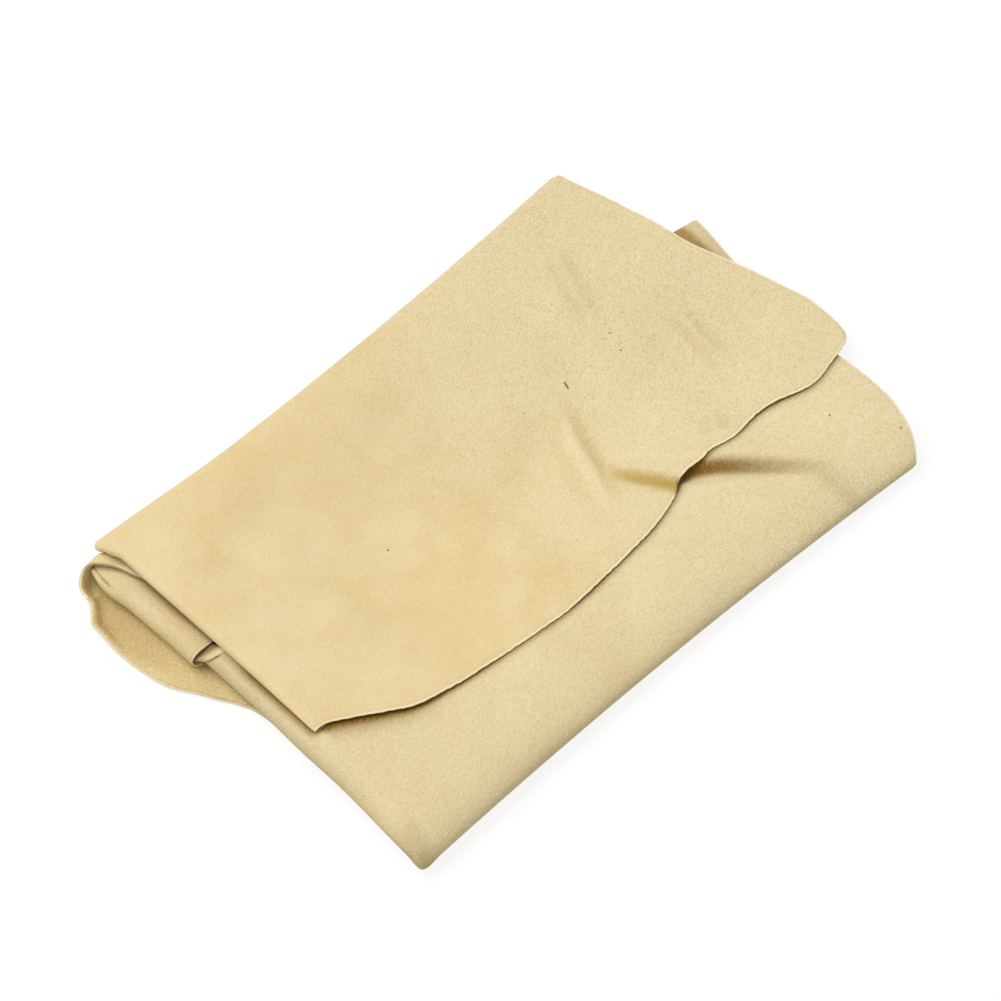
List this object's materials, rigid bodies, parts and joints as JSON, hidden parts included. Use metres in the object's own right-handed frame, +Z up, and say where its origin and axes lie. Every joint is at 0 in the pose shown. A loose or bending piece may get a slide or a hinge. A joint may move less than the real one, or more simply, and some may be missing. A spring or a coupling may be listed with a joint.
{
  "type": "chamois leather",
  "caption": "Soft suede skin with natural raw edges, folded in three like a letter, for drying and polishing.",
  "frame": {"origin": "on the underside of the base panel, near the middle of the folded skin, on the table", "axes": "+X along the folds to the free tip of the flap, +Y from the front fold to the back fold, +Z up"},
  "size_m": [0.3464, 0.2294, 0.025],
  "materials": {
    "napped_side": "oil-tanned suede, fine pale nap, matt",
    "flesh_side": "oil-tanned suede, rougher and more yellow inner side, matt"
  },
  "bodies": {
    "base": {"base_panel": "flesh_side", "front_fold_lower": "napped_side", "back_edge_bend_lower": "napped_side", "inner_roll_lower": "flesh_side", "inner_roll_bend": "napped_side", "inner_roll_upper": "napped_side"},
    "middle": {"front_fold_upper": "napped_side", "middle_panel": "napped_side", "middle_side_bend": "napped_side", "middle_lining": "flesh_side", "back_fold_lower": "napped_side"},
    "flap": {"back_fold_upper": "napped_side", "top_flap": "napped_side", "flap_side_bend": "napped_side", "flap_lining": "flesh_side"},
    "back_edge": {"back_edge_bend_upper": "napped_side", "tucked_edge": "flesh_side"}
  },
  "joints": [
    {"name": "front_fold", "type": "hinge", "parent": "base", "child": "middle", "pos_m": [-0.15, -0.1091, 0.00945], "axis": [0.9999, -0.0132, -0.007], "range_deg": [0, 170]},
    {"name": "back_fold", "type": "hinge", "parent": "middle", "child": "flap", "pos_m": [-0.141, 0.0964, 0.02014], "axis": [-0.9964, -0.0695, 0.0488], "range_deg": [0, 170]},
    {"name": "back_edge_fold", "type": "hinge", "parent": "base", "child": "back_edge", "pos_m": [-0.1555, 0.0976, 0.008], "axis": [-0.9906, 0.1362, 0.0121], "range_deg": [0, 170]}
  ],
  "couplings": [
    {"joint": "back_edge_fold", "follows": "front_fold", "ratio": 1}
  ]
}
